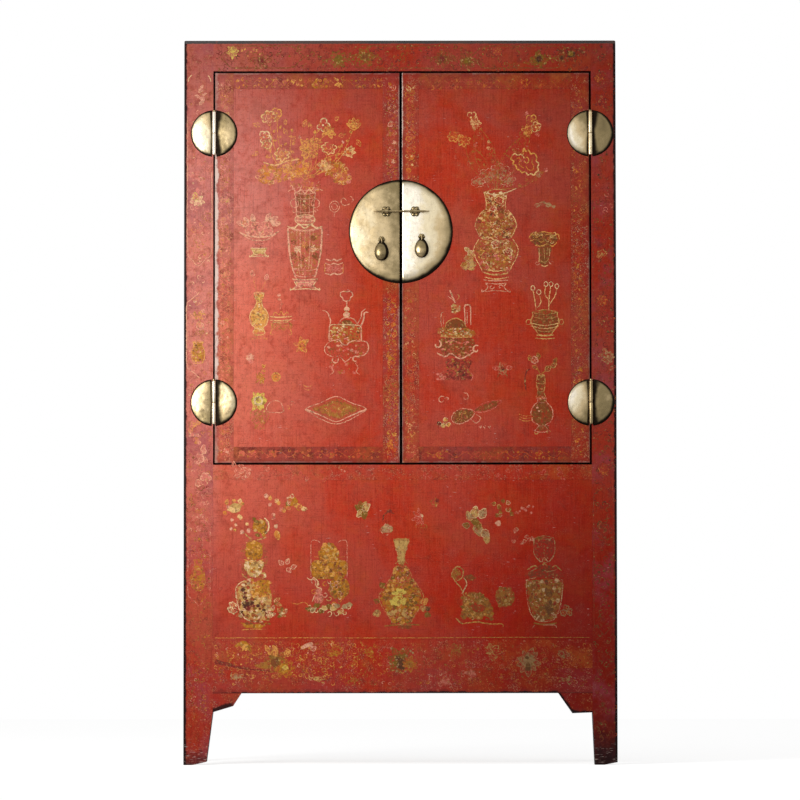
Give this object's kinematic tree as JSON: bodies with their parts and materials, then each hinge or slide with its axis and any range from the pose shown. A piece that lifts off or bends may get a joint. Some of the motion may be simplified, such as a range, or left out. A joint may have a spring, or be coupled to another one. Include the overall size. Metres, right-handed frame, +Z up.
{
  "type": "wedding cabinet",
  "caption": "Tall painted wedding cabinet: paired doors on round brass hinges, round lock plate with pin and pear pulls, storage well under loose boards, tapered feet.",
  "frame": {"origin": "on the floor, at the middle of the width and of the whole depth with the pulls", "axes": "+Z up, +X to the right of someone facing the doors, +Y from the doors to the back"},
  "size_m": [1.08, 0.543, 1.81],
  "materials": {
    "red_lacquer": "worn red lacquer with faded gilt painting",
    "black_lacquer": "worn black lacquer",
    "bare_wood": "bare aged wood",
    "plate_brass": "worn satin sheet brass",
    "fitting_brass": "darkened brass"
  },
  "bodies": {
    "carcass": {"post_front_left": "red_lacquer", "post_front_right": "red_lacquer", "front_top_rail": "red_lacquer", "front_sill_rail": "red_lacquer", "front_bottom_rail": "red_lacquer", "front_panel": "red_lacquer", "front_apron": "red_lacquer", "apron_bracket_left": "red_lacquer", "apron_bracket_right": "red_lacquer", "post_back_left": "black_lacquer", "post_back_right": "black_lacquer", "top_board": "black_lacquer", "side_top_rail_left": "black_lacquer", "side_sill_rail_left": "black_lacquer", "side_low_rail_left": "black_lacquer", "side_panel_upper_left": "black_lacquer", "side_panel_lower_left": "black_lacquer", "side_top_rail_right": "black_lacquer", "side_sill_rail_right": "black_lacquer", "side_low_rail_right": "black_lacquer", "side_panel_upper_right": "black_lacquer", "side_panel_lower_right": "black_lacquer", "back_top_rail": "bare_wood", "back_sill_rail": "bare_wood", "back_low_rail": "bare_wood", "back_boards_upper": "bare_wood", "back_boards_lower": "bare_wood", "bottom_board": "bare_wood", "lid_ledge_left": "bare_wood", "lid_ledge_right": "bare_wood", "lid_bearer": "bare_wood", "shelf": "bare_wood", "shelf_cleats": "bare_wood", "hinge_post_leaves": "plate_brass", "hinge_pins": "fitting_brass"},
    "door_left": {"door_left_hinge_stile": "red_lacquer", "door_left_lock_stile": "red_lacquer", "door_left_top_rail": "red_lacquer", "door_left_bottom_rail": "red_lacquer", "door_left_panel": "red_lacquer", "door_left_battens": "bare_wood", "door_left_hinge_leaves": "plate_brass", "door_left_lock_plate": "plate_brass", "door_left_eyes": "fitting_brass", "door_left_rosettes": "fitting_brass"},
    "door_right": {"door_right_hinge_stile": "red_lacquer", "door_right_lock_stile": "red_lacquer", "door_right_top_rail": "red_lacquer", "door_right_bottom_rail": "red_lacquer", "door_right_panel": "red_lacquer", "door_right_battens": "bare_wood", "door_right_hinge_leaves": "plate_brass", "door_right_lock_plate": "plate_brass", "door_right_eyes": "fitting_brass", "door_right_rosettes": "fitting_brass"},
    "pull_left": {"pull_left": "fitting_brass"},
    "pull_right": {"pull_right": "fitting_brass"},
    "lock_pin": {"lock_pin": "fitting_brass"},
    "well_lid_left": {"well_lid_left": "bare_wood"},
    "well_lid_right": {"well_lid_right": "bare_wood"}
  },
  "joints": [
    {"name": "door_left_swing", "type": "hinge", "parent": "carcass", "child": "door_left", "pos_m": [-0.465, -0.2545, 0.902], "axis": [0, 0, -1], "range_deg": [0, 175]},
    {"name": "door_right_swing", "type": "hinge", "parent": "carcass", "child": "door_right", "pos_m": [0.476, -0.2545, 0.902], "axis": [0, 0, 1], "range_deg": [0, 175]},
    {"name": "pull_left_swing", "type": "hinge", "parent": "door_left", "child": "pull_left", "pos_m": [-0.046, -0.2635, 1.309], "axis": [-1, 0, 0], "range_deg": [0, 100]},
    {"name": "pull_right_swing", "type": "hinge", "parent": "door_right", "child": "pull_right", "pos_m": [0.054, -0.2635, 1.316], "axis": [-1, 0, 0], "range_deg": [0, 100]},
    {"name": "lock_pin_slide", "type": "slide", "parent": "door_left", "child": "lock_pin", "axis": [-1, 0, 0], "range_m": [0, 0.115]},
    {"name": "well_lid_left_lift", "type": "slide", "parent": "carcass", "child": "well_lid_left", "axis": [0, 0, 1], "range_m": [0, 0.2]},
    {"name": "well_lid_right_lift", "type": "slide", "parent": "carcass", "child": "well_lid_right", "axis": [0, 0, 1], "range_m": [0, 0.2]}
  ]
}
